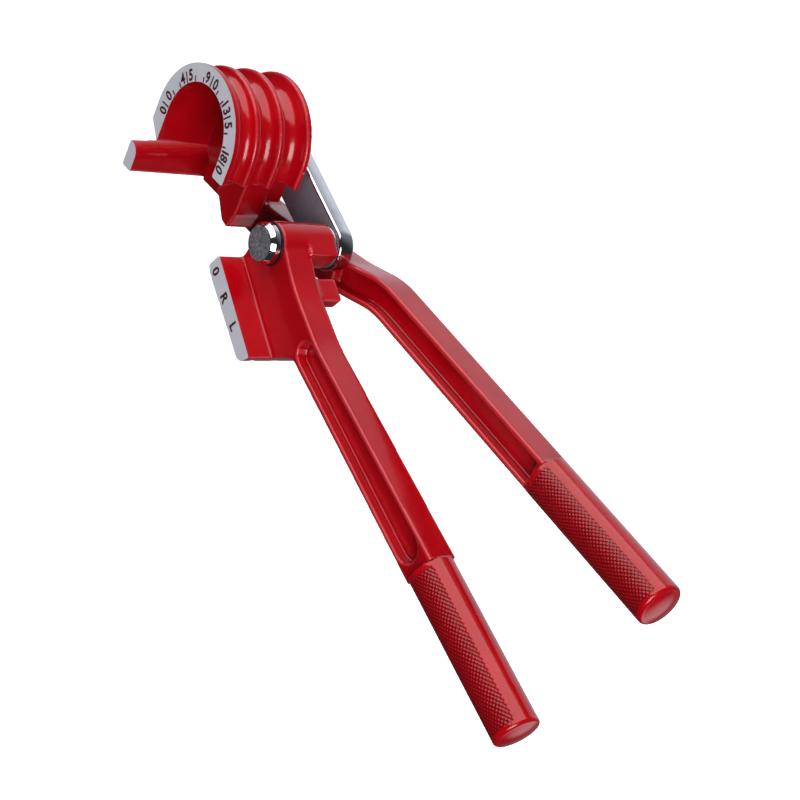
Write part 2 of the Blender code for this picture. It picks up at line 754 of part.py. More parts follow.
pose(make_wheel_casting(), wheel_axis, red_paint)
pose(make_wheel_pin(), wheel_axis, steel)
pose(collar("wheel_pin_collar"), wheel_axis, chrome)
spacer_inner = PIN_RADIUS + GAP
washer_front = WASHER_Z + WASHER_THICK
wheel_spacer = ring("wheel_spacer_washer", spacer_inner, WASHER_RADIUS, WASHER_Z, washer_front)
pose(wheel_spacer, wheel_axis, steel)

pose(make_link(), link_axis, chrome)
link_bush = ring("link_bush", spacer_inner, BUSH_RADIUS, LINK_BACK_Z, LINK_TOP_Z)
pose(link_bush, link_axis, bronze)
pose(make_shoe_pin(), link_pin_axis, chrome)
boss_spacer = ring("boss_spacer_washer", spacer_inner, WASHER_RADIUS, WASHER_Z, washer_front)
pose(boss_spacer, link_pin_axis, steel)
washer_low = BEAM_TOP_Z + GAP
washer_high = washer_low + HEAD_WASHER_THICK
head_washer = ring("pin_head_washer", spacer_inner, HEAD_WASHER_RADIUS, washer_low, washer_high)
pose(head_washer, link_pin_axis, black_steel)

pose(make_shoe_casting(), shoe_axis, red_paint)
pose(ring("boss_bush", spacer_inner, BUSH_RADIUS, WHEEL_BACK_Z, BEAM_TOP_Z), shoe_axis, bronze)
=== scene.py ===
"""Lever tube bender for 1/4, 5/16 and 3/8 inch tube, dressed for a photograph.

Metres. The forming wheel's axis is Z, and z = 0 is the floor of the wheel's hollow.
"""
from math import cos, pi, radians, sin

import bmesh
import bpy
import numpy as np
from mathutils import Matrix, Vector


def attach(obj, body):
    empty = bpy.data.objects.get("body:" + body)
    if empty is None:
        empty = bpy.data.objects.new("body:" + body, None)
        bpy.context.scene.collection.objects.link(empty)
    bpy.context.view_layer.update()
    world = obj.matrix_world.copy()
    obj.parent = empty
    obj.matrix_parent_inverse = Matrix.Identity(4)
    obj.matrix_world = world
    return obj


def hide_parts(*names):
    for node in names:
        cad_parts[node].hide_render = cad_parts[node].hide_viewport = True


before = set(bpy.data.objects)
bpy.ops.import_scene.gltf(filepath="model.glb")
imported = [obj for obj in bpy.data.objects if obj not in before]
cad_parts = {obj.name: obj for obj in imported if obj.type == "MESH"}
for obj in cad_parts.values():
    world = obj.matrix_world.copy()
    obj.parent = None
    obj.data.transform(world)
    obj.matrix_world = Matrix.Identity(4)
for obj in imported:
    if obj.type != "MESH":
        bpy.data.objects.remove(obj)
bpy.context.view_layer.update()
scene = bpy.context.scene

# Camera
# A short telephoto view from the right and above, at the angle the tool was photographed from.
camera = bpy.data.objects.new("camera", bpy.data.cameras.new("camera"))
scene.collection.objects.link(camera)
camera.location = (0.57570, -0.03631, 0.43771)
camera.rotation_euler = [radians(angle) for angle in (-1.38767, 48.08199, 4.14573)]
camera.data.lens = 88.65
camera.data.sensor_width = 36.0
camera.data.clip_start = 0.01
scene.camera = camera
scene.view_settings.view_transform = "Standard"

# Wheel casting
# The forming wheel with its hook, neck, back plate and arm is one aluminium die casting with
# softly rounded edges. It is powder painted glossy red, and then the ring's face and the
# hook's end are milled bare.
WHEEL_TURN = radians(240.0)
WHEEL_FACETS = 22
WHEEL_FLANGE = 0.0025
WHEEL_BACK = -0.01117
RING_FACE = 0.0234
TUBE_REACH = 0.0282
GROOVE_WIDTHS = (0.0066, 0.00819, 0.00978)
WHEEL_GROOVE_FACETS = 7
HOOK_END = 0.0224
HOOK_SIDE = -0.0265
MILLING_STOCK = 0.0010
MILLED_OFF = 0.00003
ON_FACE = 0.00005
HOOK_CUT_ABOVE = 0.02
RING_CUT_ABOVE = 0.0228
ARM_CUT_BEYOND = 0.16
TRUED_REACH = (0.0175, 0.0264)
TRUED_LEG = 0.0145
TRUED_BELOW = 0.0003
GROOVE_REACH = 0.0183
SECTION_MARGIN = 1.1
TRUING_END = 1.12
TRUING_FADE = 0.08
CAST_VOXEL = 0.00048
CAST_ROUNDING = 5
PAINTED_EDGE = 0.00010
ARM_TURN = radians(-33.7)
ARM_OFFSET = -0.0155
ARM_MIDDLE = -0.02552
GRIP_START = 0.1727
GRIP_LAP = 0.0001
PAINT_RED = (0.50, 0.0018, 0.0075)
PAINT_DEEP = (0.44, 0.0014, 0.0060)
# A pink painted highlight for convex edges and knurl tops.
EDGE_HIGHLIGHT = (0.62, 0.045, 0.055)
# A dark red painted shade for inner corners, knurl grooves and the grips' parting lines.
SHADE_RED = (0.09, 0.001, 0.003)
BARE_METAL = (0.86, 0.86, 0.95)


class Wire:
    """A value that varies over a surface. Sums, products and 1 - wire add Math nodes."""

    def __init__(self, finish, socket):
        self.finish = finish
        self.socket = socket

    def joined(self, operation, first, second):
        return self.finish.node("ShaderNodeMath", {"operation": operation}, {0: first, 1: second})

    def __add__(self, other):
        return self.joined("ADD", self, other)

    def __rsub__(self, other):
        return self.joined("SUBTRACT", other, self)

    def __mul__(self, other):
        return self.joined("MULTIPLY", self, other)

    __radd__ = __add__
    __rmul__ = __mul__


class Nodes:
    """A node tree, and the one way that nodes are added to it: settings first, then sockets."""

    def __init__(self, tree):
        self.tree = tree

    def plug(self, socket, value):
        if isinstance(value, Wire):
            self.tree.links.new(value.socket, socket)
        elif socket.type == "RGBA":
            socket.default_value = (*value, 1)
        else:
            socket.default_value = value

    def node(self, kind, settings=None, inlets=None, outlet=0):
        made = self.tree.nodes.new(kind)
        for name, value in (settings or {}).items():
            setattr(made, name, value)
        for name, value in (inlets or {}).items():
            self.plug(made.inputs[name], value)
        return Wire(self, made.outputs[outlet])

    def step(self, value, low, high):
        """0 below low, 1 above high, and smooth between."""
        inlets = {"Value": value, "From Min": low, "From Max": high}
        return self.node("ShaderNodeMapRange", {"interpolation_type": "SMOOTHSTEP"}, inlets)

    def mix(self, share, first, second):
        return self.node("ShaderNodeMix", {"data_type": "RGBA"}, {0: share, 6: first, 7: second}, 2)


class Finish(Nodes):
    """A surface finish: one Principled shader and the nodes that vary it, on Object coordinates."""

    def __init__(self, name, color, metallic, roughness):
        self.material = bpy.data.materials.new(name)
        self.material.use_nodes = True
        self.material.diffuse_color = (*color, 1)
        super().__init__(self.material.node_tree)
        self.shader = self.tree.nodes["Principled BSDF"]
        self.give({"Base Color": color, "Metallic": metallic, "Roughness": roughness})
        self.place = self.node("ShaderNodeTexCoord", outlet="Object")

    def give(self, values):
        for name, value in values.items():
            self.plug(self.shader.inputs[name], value)

    def noise(self, scale, detail=2.0, place=None):
        inlets = {"Vector": place or self.place, "Scale": scale, "Detail": detail}
        return self.node("ShaderNodeTexNoise", inlets=inlets)

    def mapped(self, scale, turn=0.0):
        inlets = {"Vector": self.place, "Scale": scale, "Rotation": (0, 0, turn)}
        return self.node("ShaderNodeMapping", {"vector_type": "TEXTURE"}, inlets)

    def attribute(self, name):
        return self.node("ShaderNodeAttribute", {"attribute_name": name}, outlet="Fac")

    def relief(self, height, depth, under=None):
        inlets = {"Height": height, "Distance": depth, "Strength": 1.0}
        if under:
            inlets["Normal"] = under
        return self.node("ShaderNodeBump", inlets=inlets)


def red_paint():
    """Powder paint: orange peel over the casting's slow waves, a painted highlight on edges, painted
    shade in creases.
    """
    paint = Finish("red_paint", PAINT_RED, 0.0, 0.25)
    cloudy = paint.step(paint.noise(70, 3.0), 0.35, 0.7)
    # Convex edges are lightened towards pink: a painted highlight.
    edge = paint.attribute("edge") * (0.55 + 0.45 * paint.noise(900, 2.0))
    color = paint.mix(cloudy, PAINT_RED, PAINT_DEEP)
    color = paint.mix(edge, color, EDGE_HIGHLIGHT)
    # Inner corners and knurl grooves are darkened here: painted shade.
    color = paint.mix(paint.attribute("painted_shade"), color, SHADE_RED)
    waves = paint.relief(paint.noise(95, 1.0), 0.00022)
    peel = paint.relief(paint.noise(1150, 2.0), 0.000016, waves)
    paint.give({"Base Color": color, "Normal": peel, "Roughness": 0.12 + 0.12 * paint.noise(420, 3.0)})
    paint.give({"Coat Weight": 0.25, "Coat Roughness": 0.04, "Specular IOR Level": 0.38})
    return paint.material


def milled_metal():
    """Bare aluminium off a face mill: fine crossing strokes, and a faint haze from handling."""
    metal = Finish("milled_metal", BARE_METAL, 0.15, 0.45)
    strokes = metal.noise(1, 2.0, metal.mapped((0.00018, 0.006, 0.006), radians(28)))
    crossing = metal.noise(1, 2.0, metal.mapped((0.0045, 0.00022, 0.006), radians(12)))
    haze = metal.step(metal.noise(160, 4.0), 0.3, 0.75)
    grain = metal.noise(3200, 1.0)
    color = metal.mix(haze * 0.6 + grain * 0.25, BARE_METAL, (0.74, 0.75, 0.84))
    metal.give({"Base Color": color, "Roughness": 0.36 + 0.12 * haze + 0.10 * strokes})
    metal.give({"Normal": metal.relief(strokes + 0.6 * crossing, 0.000012)})
    return metal.material


def turned_about(points, turn, at=(0.0, 0.0)):
    """The points turned about the Z axis, then moved by at, as rows of x, y and z."""
    x, y, z = points.T
    across = x * cos(turn) - y * sin(turn) + at[0]
    up = x * sin(turn) + y * cos(turn) + at[1]
    return np.stack([across, up, z], axis=1)


def seen_from(points, turn, at=(0.0, 0.0)):
    """The inverse of turned_about: the points as a frame at at, turned by turn, sees them."""
    return turned_about(points - np.array([*at, 0.0]), -turn)


def trued(across, up, facets):
    """How far a faceted half circle falls short of the true one, at each direction.

    A facet lies nearest to the centre at its middle, where the distance is the radius times
    the cosine of half its angle, so a point moves out by the cosine of its angle from that
    middle over the cosine of half the facet's angle.
    """
    facet = pi / facets
    from_middle = np.mod(np.arctan2(up, across) + pi / 2, facet) - facet / 2
    return np.cos(from_middle) / cos(facet / 2)


def groove_trued(away, up, half, facets):
    """The points of a tube groove's section carried out to its true circle.

    The push is whole on the groove's surface and fades to none at TRUING_END times its radius.
    """
    reach = np.hypot(away, up)
    share = np.clip((TRUING_END - reach / half) / TRUING_FADE, 0, 1)
    push = 1 + (trued(away, up, facets) - 1) * share
    return away * push, up * push


def read_points(mesh):
    points = np.empty(len(mesh.vertices) * 3)
    mesh.vertices.foreach_get("co", points)
    return points.reshape(-1, 3)


def merged_copy(node, name):
    """A new piece with a frame node's mesh, its split corners merged."""
    piece = bpy.data.objects.new(name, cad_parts[node].data.copy())
    scene.collection.objects.link(piece)
    shape = bmesh.new()
    shape.from_mesh(piece.data)
    bmesh.ops.remove_doubles(shape, verts=shape.verts, dist=0.000002)
    shape.to_mesh(piece.data)
    shape.free()
    return piece


def evaluated_mesh(piece):
    """A new mesh of the piece as its modifiers or its text settings make it."""
    bpy.context.view_layer.update()
    return bpy.data.meshes.new_from_object(piece.evaluated_get(bpy.context.evaluated_depsgraph_get()))


def recast(piece, voxel):
    """The piece's solid laid out anew in even small faces."""
    remesh = piece.modifiers.new("even", "REMESH")
    remesh.mode = "VOXEL"
    remesh.voxel_size = voxel
    even = evaluated_mesh(piece)
    piece.modifiers.clear()
    piece.data = even


def rounded_edges(piece, points, rounds, full):
    """Rounds the casting's edges, and keeps how convex or hollow each one was as attributes.

    Each round moves every point halfway to the mean of its neighbours. A point's edge value
    is how far that carried it inwards along its normal, over the distance full; the paint
    turns it into a painted highlight along convex edges. Its painted shade value is how far
    it went outwards, as it does along an inner corner, and darkens the crease there.
    """
    mesh = piece.data
    pairs = np.empty(len(mesh.edges) * 2, np.int64)
    mesh.edges.foreach_get("vertices", pairs)
    ends = np.concatenate([pairs[0::2], pairs[1::2]])
    others = np.concatenate([pairs[1::2], pairs[0::2]])
    count = np.bincount(ends, minlength=len(points))[:, None]
    smooth = points.copy()
    for _ in range(rounds):
        sums = [np.bincount(ends, smooth[others, axis], len(points)) for axis in range(3)]
        smooth += 0.5 * (np.stack(sums, axis=1) / count - smooth)
    mesh.vertices.foreach_set("co", smooth.ravel())
    mesh.update()
    normals = np.empty(len(points) * 3)
    mesh.vertex_normals.foreach_get("vector", normals)
    inwards = ((points - smooth) * normals.reshape(-1, 3)).sum(axis=1)
    convex = np.clip(inwards / full - 0.25, 0, 1)
    mesh.attributes.new("edge", "FLOAT", "POINT").data.foreach_set("value", convex.astype(np.float32))
    # Painted shade: how far a point went outwards darkens it, along inner corners.
    crease_shade = np.clip(-inwards / full - 0.35, 0, 1) * 0.4
    mesh.attributes.new("painted_shade", "FLOAT", "POINT").data.foreach_set("value", crease_shade.astype(np.float32))


def sliced(piece, point, normal, chosen, slot_index):
    """Cuts off what lies beyond a plane, among the chosen faces, and closes the cut flat."""
    shape = bmesh.new()
    shape.from_mesh(piece.data)
    faces = [face for face in shape.faces if chosen(face.calc_center_median())]
    parts = {part for face in faces for part in (*face.verts, *face.edges)}
    made = bmesh.ops.bisect_plane(
        shape, geom=[*faces, *parts], plane_co=point, plane_no=normal, clear_outer=True
    )
    rim = [part for part in made["geom_cut"] if isinstance(part, bmesh.types.BMEdge)]
    lid = bmesh.ops.triangle_fill(shape, use_beauty=True, edges=rim)
    for face in lid["geom"]:
        if isinstance(face, bmesh.types.BMFace):
            if face.normal.dot(Vector(normal)) < 0:
                face.normal_flip()
            face.smooth = False
            face.material_index = slot_index
    shape.to_mesh(piece.data)
    shape.free()


def casting(piece, paints):
    """Smooth faces and the casting's finishes: paint first, bare metal second."""
    piece.data.shade_smooth()
    piece.data.materials.clear()
    for paint in paints:
        piece.data.materials.append(paint)


def groove_centres():
    """The three grooves' widths and the heights of their middles, from the near one back."""
    top = RING_FACE
    centres = []
    for width in GROOVE_WIDTHS:
        top -= WHEEL_FLANGE
        centres.append((width, top - width / 2))
        top -= width
    return centres


def wheel_points(points):
    """The wheel's grooves and arch carried from their facets out to true circles.

    In the wheel's own frame its legs run along +x. The arch is the half with x below 0, where
    the radius is the distance from the axis; along the legs it is the distance from y = 0.
    """
    own = seen_from(points, WHEEL_TURN)
    x, y, z = own.T
    arch = x < 0
    side = np.where(y < 0, -1.0, 1.0)
    reach = np.where(arch, np.hypot(x, y), abs(y))
    near = (z > WHEEL_BACK - TRUED_BELOW) & (x < TRUED_LEG)
    near &= (reach > TRUED_REACH[0]) & (reach < TRUED_REACH[1])
    grown = reach * np.where(arch & near, trued(x, y, WHEEL_FACETS), 1.0)
    height = z.copy()
    for width, middle in groove_centres():
        half = width / 2
        away, up = groove_trued(grown - (TUBE_REACH - half), z - middle, half, WHEEL_GROOVE_FACETS)
        inside = near & (abs(z - middle) < SECTION_MARGIN * half) & (grown > GROOVE_REACH)
        grown = np.where(inside, TUBE_REACH - half + away, grown)
        height = np.where(inside, middle + up, height)
    push = grown / np.maximum(reach, 1e-9)
    x = np.where(arch, x * push, x)
    y = np.where(arch, y * push, side * grown)
    return turned_about(np.stack([x, y, height], axis=1), WHEEL_TURN)


paint = red_paint()
bare_metal = milled_metal()

wheel = merged_copy("wheel_casting", "wheel_casting_painted")
points = read_points(wheel.data)
own = seen_from(points, WHEEL_TURN)
on_ring = points[:, 2] > RING_FACE - ON_FACE
on_hook = (abs(points[:, 2] - HOOK_END) < ON_FACE) & (own[:, 1] < HOOK_SIDE)
points[on_ring | on_hook, 2] += MILLING_STOCK
wheel.data.vertices.foreach_set("co", points.ravel())
recast(wheel, CAST_VOXEL)
rounded_edges(wheel, wheel_points(read_points(wheel.data)), CAST_ROUNDING, PAINTED_EDGE)
casting(wheel, [paint, bare_metal])
hook_way = Vector((sin(WHEEL_TURN), -cos(WHEEL_TURN), 0))
along_arm = Vector((cos(ARM_TURN), sin(ARM_TURN), 0))
sliced(
    wheel,
    along_arm * (GRIP_START + GRIP_LAP),
    along_arm,
    lambda at: at.dot(along_arm) > ARM_CUT_BEYOND,
    0,
)
sliced(
    wheel,
    (0, 0, HOOK_END - MILLED_OFF),
    (0, 0, 1),
    lambda at: at.z > HOOK_CUT_ABOVE and at.dot(hook_way) > -HOOK_SIDE,
    1,
)
sliced(
    wheel,
    (0, 0, RING_FACE - MILLED_OFF),
    (0, 0, 1),
    lambda at: at.z > RING_CUT_ABOVE and at.dot(hook_way) < -HOOK_SIDE,
    1,
)
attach(wheel, "wheel_handle")
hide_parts("wheel_casting")

# Bend angle scale
# The numbers and strokes are stamped into the ring's bare face and filled with dark paint.
# Each number stands on both sides of its long stroke, read from the wheel's axis outwards.
SCALE_LABELS = (
    (149.0, (("0", 156.0), ("0", 139.0))),
    (104.2, (("4", 111.3), ("5", 97.5))),
    (60.8, (("9", 68.6), ("0", 53.6))),
    (14.6, (("1", 28.6), ("3", 21.0), ("5", 6.9))),
    (-31.2, (("1", -19.8), ("8", -25.6), ("0", -38.6))),
)
SHORT_STROKES = (131.2, 117.5, 89.6, 74.8, 46.0, 32.6, -1.0, -15.4)
STROKE_WIDTH = 0.00065
LONG_STROKE = (0.01835, 0.02255)
SHORT_STROKE = (0.01835, 0.02035)
DIGIT_HEIGHT = 0.0043
DIGIT_CONDENSED = 0.88
DIGIT_REACH = 0.0208
GLYPH_WEIGHT = 0.034
MARK_PROUD = 0.00002
MARK_DEPTH = 0.00005
MARK_RED = (0.055, 0.004, 0.010)


def mark_paint():
    """Dark red filler paint, a little worn and uneven in the stamped lines."""
    filler = Finish("mark_paint", MARK_RED, 0.0, 0.5)
    worn = filler.step(filler.noise(1900, 3.0), 0.45, 0.8)
    filler.give({"Base Color": filler.mix(worn, MARK_RED, (0.12, 0.016, 0.026))})
    filler.give({"Roughness": 0.42 + 0.3 * worn, "Normal": filler.relief(worn, 0.00001)})
    return filler.material


def glyph(letter, condensed, height):
    """A letter as points and faces, centred and that high, narrowed, from 0 to 1 in z."""
    curve = bpy.data.curves.new("glyph", "FONT")
    curve.body = letter
    curve.extrude = 0.5
    curve.offset = GLYPH_WEIGHT
    drawn = bpy.data.objects.new("glyph", curve)
    scene.collection.objects.link(drawn)
    mesh = evaluated_mesh(drawn)
    shape = bmesh.new()
    shape.from_mesh(mesh)
    bmesh.ops.remove_doubles(shape, verts=shape.verts, dist=0.00001)
    bmesh.ops.recalc_face_normals(shape, faces=shape.faces)
    shape.to_mesh(mesh)
    shape.free()
    points = read_points(mesh)
    faces = [tuple(face.vertices) for face in mesh.polygons]
    bpy.data.objects.remove(drawn)
    low, high = points.min(axis=0), points.max(axis=0)
    scale = height / (high[1] - low[1])
    return (points - [*((low + high) / 2)[:2], low[2]]) * [scale * condensed, scale, 1.0], faces


def stroke(length, width):
    """A stamped stroke as points and faces: a straight bar from 0 to 1 in z."""
    foot = ((-1, -1), (1, -1), (1, 1), (-1, 1))
    corners = [(x * width / 2, y * length / 2, z) for z in (0, 1) for x, y in foot]
    faces = [(3, 2, 1, 0), (4, 5, 6, 7), (0, 1, 5, 4), (1, 2, 6, 5), (2, 3, 7, 6), (3, 0, 4, 7)]
    return np.array(corners), faces


def stamped(name, marks, face):
    """One piece of all the marks. A mark is (points, faces), where it stands, and its turn."""
    points, faces = [], []
    for (shape, sides), at, turn in marks:
        first = sum(len(part) for part in points)
        level = shape * [1, 1, MARK_DEPTH + MARK_PROUD] + [0, 0, face - MARK_DEPTH]
        points.append(turned_about(level, turn, at))
        faces += [tuple(first + corner for corner in side) for side in sides]
    mesh = bpy.data.meshes.new(name)
    mesh.from_pydata(np.concatenate(points).tolist(), [], faces)
    mesh.materials.append(mark_filler)
    piece = bpy.data.objects.new(name, mesh)
    scene.collection.objects.link(piece)
    return piece


def on_the_ring(mark, reach, direction):
    """A mark at that radius and direction, with its top outwards."""
    angle = radians(direction)
    return mark, (reach * cos(angle), reach * sin(angle)), angle - pi / 2


mark_filler = mark_paint()
scale_marks = []
for line, digits in SCALE_LABELS:
    low, high = LONG_STROKE
    scale_marks.append(on_the_ring(stroke(high - low, STROKE_WIDTH), (low + high) / 2, line))
    for digit, direction in digits:
        mark = glyph(digit, DIGIT_CONDENSED, DIGIT_HEIGHT)
        scale_marks.append(on_the_ring(mark, DIGIT_REACH, direction))
for direction in SHORT_STROKES:
    low, high = SHORT_STROKE
    scale_marks.append(on_the_ring(stroke(high - low, STROKE_WIDTH), (low + high) / 2, direction))
scale = stamped("bend_angle_scale", scale_marks, RING_FACE - MILLED_OFF)
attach(scale, "wheel_handle")

# Wheel handle grip
# The round end of the arm, cast in one with it: diamond knurled on its near and far sides,
# smooth where the mould parts, with a slightly domed end.
GRIP_LENGTH = 0.0618
GRIP_RADIUS = 0.00815
GRIP_DOME = 0.0010
GRIP_EDGE = 0.0012
KNURL_DEPTH = 0.00042
KNURLS_AROUND = 36
KNURL_ROWS = 33
KNURL_SAMPLES = 6
KNURL_SIDE = radians(47)
KNURL_FADE = radians(7)
KNURL_END = 0.0016
KNURL_RUNOUT = 0.0008
KNURL_SQUARED = 1.8
RIM_ROWS = 7
DISC_ROWS = 8
# A painted highlight on the knurl tops, and painted shade along the grip's parting line.
TOP_HIGHLIGHT = 0.2
PARTING_SHADE = 0.8


def profile_points(length, radius, edge, dome):
    """A grip's outline as distances along and radii: pole, flat, rounded edge, side, and back."""
    bend = np.linspace(0, pi / 2, RIM_ROWS)
    disc = np.linspace(0.02, 1, DISC_ROWS + 1)[:-1] * (radius - edge)
    first = np.stack([np.zeros(DISC_ROWS), disc], axis=1)
    back = edge / 2
    near = np.stack([back * (1 - np.sin(bend)), radius - back * (1 - np.cos(bend))], axis=1)
    side = np.linspace(back, length - edge, KNURL_ROWS * KNURL_SAMPLES + 1)[1:-1]
    wall = np.stack([side, np.full(len(side), radius)], axis=1)
    end_bend = edge * (1 - np.sin(bend))
    far = np.stack([length - end_bend, radius - edge * (1 - np.cos(bend))], axis=1)
    last = disc[::-1]
    rise = dome * (1 - (last / (radius - edge)) ** 2)
    end = np.stack([length + rise, last], axis=1)
    return np.concatenate([first, near[::-1], wall, far, end])


def knurled_grip(name, start, offset, middle, turn, at=(0.0, 0.0)):
    """A round grip about its own axis, as a grid of rows along it by columns around it.

    Two sets of crossing helical grooves leave diamonds between them: at each point the two
    distances to the nearest groove of either set are taken, 0 in a groove and 1 midway, and
    the smaller one is squared off to a rounded top. Where it is 0 the radius loses the whole
    depth. The depth fades to none towards the mould's parting line and at both ends. The
    diamonds' tops get a painted highlight and the grooves painted shade, and the parting line
    is a crease of painted shade across the end, on the columns where up is 0.
    """
    outline = profile_points(GRIP_LENGTH, GRIP_RADIUS, GRIP_EDGE, GRIP_DOME)
    columns = KNURLS_AROUND * KNURL_SAMPLES
    around = np.arange(columns) * 2 * pi / columns
    along = np.repeat(outline[:, :1], columns, axis=1)
    radius = np.repeat(outline[:, 1:], columns, axis=1)
    turns = around / (2 * pi) * KNURLS_AROUND
    rows = along / GRIP_LENGTH * KNURL_ROWS
    cross = [1 - abs(2 * np.mod(turns + rows * sign, 1) - 1) for sign in (1, -1)]
    top = 1 - (1 - np.minimum(*cross)) ** KNURL_SQUARED
    facing = np.minimum(around, 2 * pi - around)
    facing = np.minimum(facing, pi - facing)
    sides = np.clip((KNURL_SIDE + KNURL_FADE - facing) / KNURL_FADE, 0, 1)
    from_end = np.minimum(along, GRIP_LENGTH - along)
    knurled = sides * np.clip((from_end - KNURL_END) / KNURL_RUNOUT, 0, 1)
    radius = radius - KNURL_DEPTH * (1 - top) * knurled
    across = radius * np.sin(around)
    up = radius * np.cos(around)
    grid = np.stack([along + start, across + offset, up + middle], axis=-1).reshape(-1, 3)
    poles = np.array([[start, offset, middle], [start + GRIP_LENGTH + GRIP_DOME, offset, middle]])
    count = len(outline)
    corner = np.arange(count * columns).reshape(count, columns)
    beside = np.roll(corner, -1, axis=1)
    quads = np.stack([corner[:-1], corner[1:], beside[1:], beside[:-1]], axis=-1).reshape(-1, 4)
    fans = [(count * columns, a, b) for a, b in zip(corner[0], beside[0])]
    fans += [(count * columns + 1, b, a) for a, b in zip(corner[-1], beside[-1])]
    mesh = bpy.data.meshes.new(name)
    points = np.concatenate([grid, poles])
    mesh.from_pydata(turned_about(points, turn, at).tolist(), [], [*quads.tolist(), *fans])
    shape = bmesh.new()
    shape.from_mesh(mesh)
    bmesh.ops.recalc_face_normals(shape, faces=shape.faces)
    shape.to_mesh(mesh)
    shape.free()
    # Painted shade in the knurl grooves and along the parting line, and a painted highlight on the
    # diamonds' tops, as the paint's two attributes.
    painted_shade = (1 - top) * knurled
    painted_shade[-RIM_ROWS - DISC_ROWS:, [columns // 4, 3 * columns // 4]] = PARTING_SHADE
    worn = {"edge": top * knurled * TOP_HIGHLIGHT, "painted_shade": painted_shade}
    for attribute, share in worn.items():
        values = np.concatenate([share.ravel(), [0, 0]]).astype(np.float32)
        mesh.attributes.new(attribute, "FLOAT", "POINT").data.foreach_set("value", values)
    mesh.shade_smooth()
    mesh.materials.append(paint)
    piece = bpy.data.objects.new(name, mesh)
    scene.collection.objects.link(piece)
    return piece


wheel_grip = knurled_grip("wheel_handle_grip", GRIP_START, ARM_OFFSET, ARM_MIDDLE, ARM_TURN)
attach(wheel_grip, "wheel_handle")

# Wheel pivot pin, its riveted collar and the spacer washer
# A steel pin is held blind in the wheel's floor and carries the link behind the wheel. A
# polished collar is riveted on its end, and a thin washer keeps the link off the paint.
PIN_RADIUS = 0.0035
PIN_CLEAR = 0.0038
WHEEL_PIN_TOP = -0.00427
COLLAR_BACK = -0.02167
COLLAR_FRONT = -0.01947
COLLAR_RADIUS = 0.0056
WASHER_FRONT = -0.01147
WASHER_BACK = -0.01227
WASHER_RADIUS = 0.0075
TURNING_STEPS = 96
CORNER_STEPS = 4
STEEL = (0.55, 0.55, 0.57)


def turned_steel(name, color, roughness, ringed):
    """Steel off a lathe: fine rings about the axis through ringed, and faint stains."""
    steel = Finish(name, color, 1.0, roughness)
    inlets = {"Vector": steel.place, "Location": (ringed[0], ringed[1], 0), "Scale": (1, 1, 0.0001)}
    centred = steel.node("ShaderNodeMapping", {"vector_type": "TEXTURE"}, inlets)
    distance = steel.node("ShaderNodeVectorMath", {"operation": "LENGTH"}, {0: centred}, 1)
    inlets = {"W": distance * 9000, "Detail": 2.0}
    rings = steel.node("ShaderNodeTexNoise", {"noise_dimensions": "1D"}, inlets)
    stain = steel.step(steel.noise(300, 3.0), 0.4, 0.8)
    steel.give({"Base Color": steel.mix(stain, color, [0.7 * part for part in color])})
    steel.give({"Roughness": roughness + 0.12 * stain + 0.06 * rings})
    steel.give({"Normal": steel.relief(rings, 0.000004)})
    return steel.material


def softened(profile, radius):
    """The closed profile with each corner replaced by a small curve through its two edges.

    A corner's curve runs from a point on one edge to a point on the other, each at radius
    from the corner or at a third of the edge where that is less, bent towards the corner.
    """
    corners = np.array(profile)
    before = np.roll(corners, 1, axis=0) - corners
    after = np.roll(corners, -1, axis=0) - corners
    reach = np.minimum(np.linalg.norm(before, axis=1), np.linalg.norm(after, axis=1)) / 3
    reach = np.minimum(reach, radius)[:, None]
    start = corners + before / np.linalg.norm(before, axis=1)[:, None] * reach
    end = corners + after / np.linalg.norm(after, axis=1)[:, None] * reach
    share = np.linspace(0, 1, CORNER_STEPS + 1)[None, :, None]
    curve = start[:, None] * (1 - share) ** 2 + end[:, None] * share**2
    curve += corners[:, None] * 2 * share * (1 - share)
    return curve.reshape(-1, 2)


def lathed(name, profile, at, look, radius=0.0003):
    """A closed profile of radii and heights, its corners softened, turned about a Z axis.

    Point (i, j) is at the profile's radius i in direction j, at the profile's height i.
    """
    outline = softened(profile, radius)
    outline[:, 0] = np.maximum(outline[:, 0], 0)
    angle = np.arange(TURNING_STEPS) * 2 * pi / TURNING_STEPS
    x = outline[:, :1] * np.cos(angle) + at[0]
    y = outline[:, :1] * np.sin(angle) + at[1]
    z = np.repeat(outline[:, 1:], TURNING_STEPS, axis=1)
    corner = np.arange(x.size).reshape(x.shape)
    beside = np.roll(corner, -1, axis=1)
    after = (np.roll(corner, -1, axis=0), np.roll(beside, -1, axis=0))
    quads = np.stack([corner, *after, beside], axis=-1).reshape(-1, 4)
    points = np.stack([x, y, z], axis=-1).reshape(-1, 3)
    mesh = bpy.data.meshes.new(name)
    mesh.from_pydata(points.tolist(), [], quads.tolist())
    shape = bmesh.new()
    shape.from_mesh(mesh)
    bmesh.ops.remove_doubles(shape, verts=shape.verts, dist=0.0000005)
    bmesh.ops.dissolve_degenerate(shape, edges=shape.edges, dist=0.0000002)
    bmesh.ops.recalc_face_normals(shape, faces=shape.faces)
    shape.to_mesh(mesh)
    shape.free()
    mesh.shade_smooth()
    mesh.set_sharp_from_angle(angle=radians(50))
    mesh.materials.append(look)
    piece = bpy.data.objects.new(name, mesh)
    scene.collection.objects.link(piece)
    return piece


def ring_profile(inner, outer, low, high):
    return [(outer, high), (outer, low), (inner, low), (inner, high)]


def fitted(piece, body, node):
    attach(piece, body)
    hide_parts(node)


